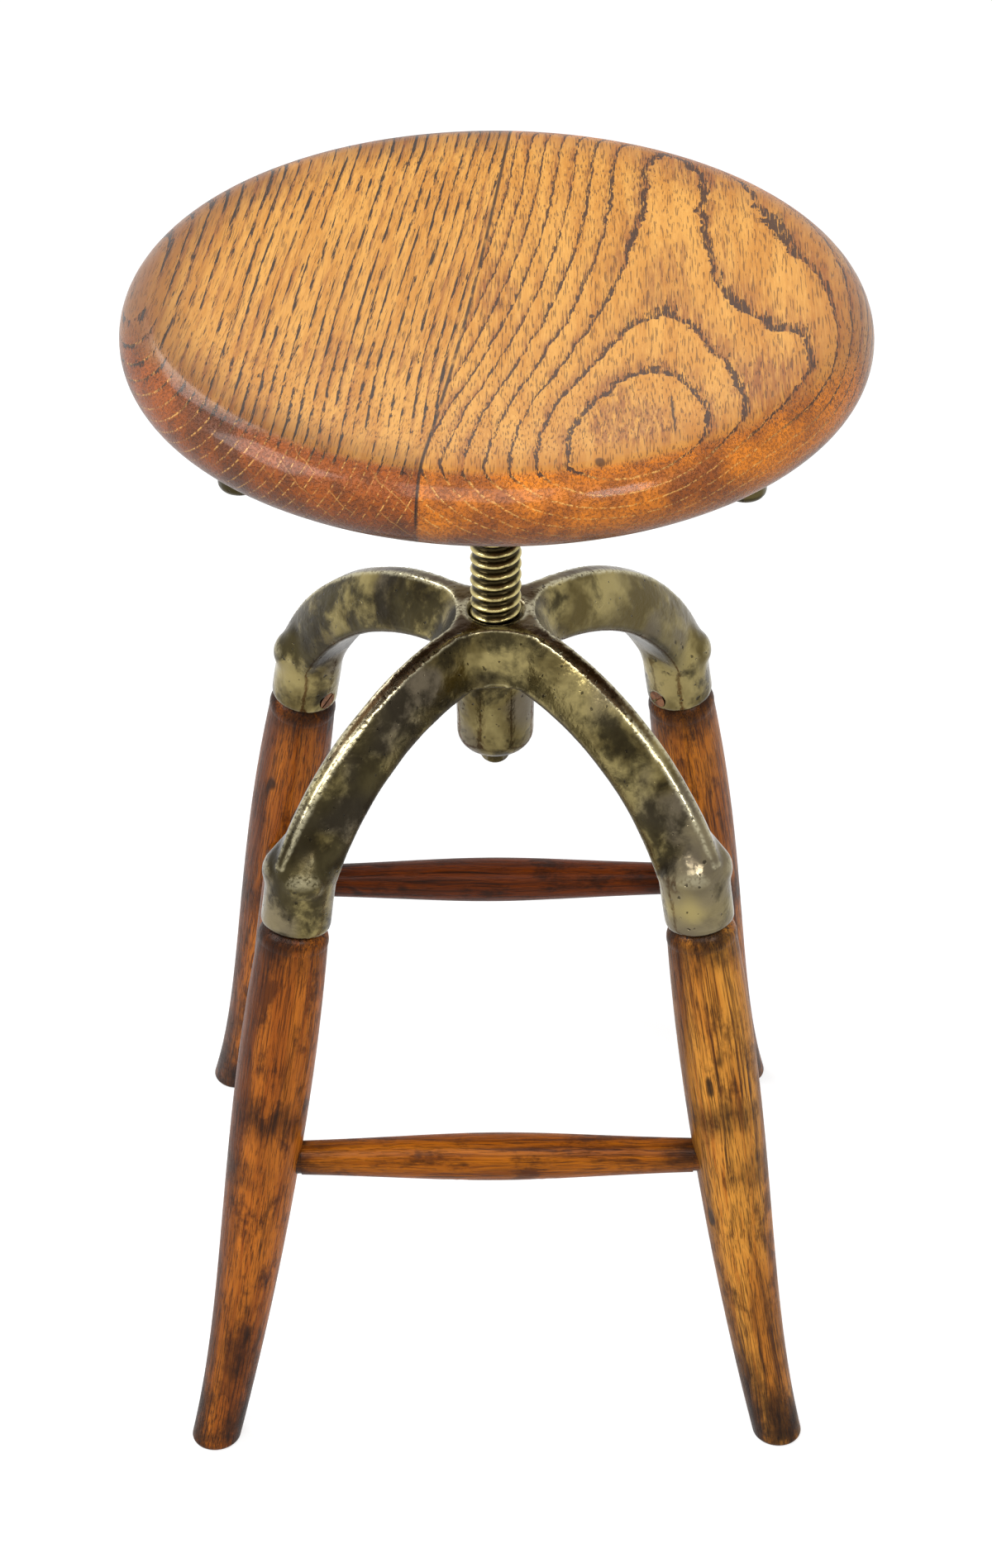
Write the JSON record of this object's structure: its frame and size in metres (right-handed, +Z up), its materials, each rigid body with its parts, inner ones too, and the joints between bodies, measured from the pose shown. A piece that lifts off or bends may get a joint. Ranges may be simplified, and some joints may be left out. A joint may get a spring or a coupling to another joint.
{
  "type": "drafting stool",
  "caption": "Drafting stool: round dished wood seat on a screw post that raises and lowers it, an arched cast spider, and splayed turned wood legs joined by stretchers.",
  "frame": {"origin": "on the floor under the axis of the seat and post", "axes": "+Z up along the post, +Y to the rear, +X to the right as the picture sees it"},
  "size_m": [0.356, 0.356, 0.6006],
  "materials": {
    "seat_oak": "clear varnish over golden oak",
    "dowel_wood": "bare",
    "leg_wood": "dark stained, worn varnish",
    "stretcher_wood": "dark stained, worn varnish",
    "base_casting": "aged, polished on the ridges, dark patina in the hollows",
    "seat_casting": "aged, with a dark patina",
    "post_metal": "worn bright on the thread",
    "stop_bolt_metal": "aged",
    "plain_screws": "aged",
    "socket_screw_metal": "copper-brown, aged",
    "brad_steel": "dark"
  },
  "bodies": {
    "base": {"base_spider": "base_casting", "leg_rear_right": "leg_wood", "leg_rear_left": "leg_wood", "leg_front_left": "leg_wood", "leg_front_right": "leg_wood", "stretcher_right": "stretcher_wood", "stretcher_rear": "stretcher_wood", "stretcher_left": "stretcher_wood", "stretcher_front": "stretcher_wood", "socket_screw_rear_right": "socket_screw_metal", "socket_screw_rear_left": "socket_screw_metal", "socket_screw_front_left": "socket_screw_metal", "socket_screw_front_right": "socket_screw_metal", "stretcher_brads": "brad_steel"},
    "stop_washer": {"stop_washer": "plain_screws"},
    "seat": {"seat_board_left": "seat_oak", "seat_board_right": "seat_oak", "seat_dowels": "dowel_wood", "seat_spider": "seat_casting", "seat_screws": "plain_screws", "seat_post": "post_metal", "post_pin": "plain_screws", "stop_bolt": "stop_bolt_metal"}
  },
  "joints": [
    {"name": "seat_lift", "type": "slide", "parent": "base", "child": "stop_washer", "axis": [0, 0, 1], "range_m": [-0.0985, 0]},
    {"name": "seat_turn", "type": "hinge", "parent": "stop_washer", "child": "seat", "pos_m": [0, 0, 0.422], "axis": [0, 0, 1], "range_deg": [-5580, 0]}
  ],
  "couplings": [
    {"joint": "seat_lift", "follows": "seat_turn", "m_per_rad": 0.0010106}
  ]
}
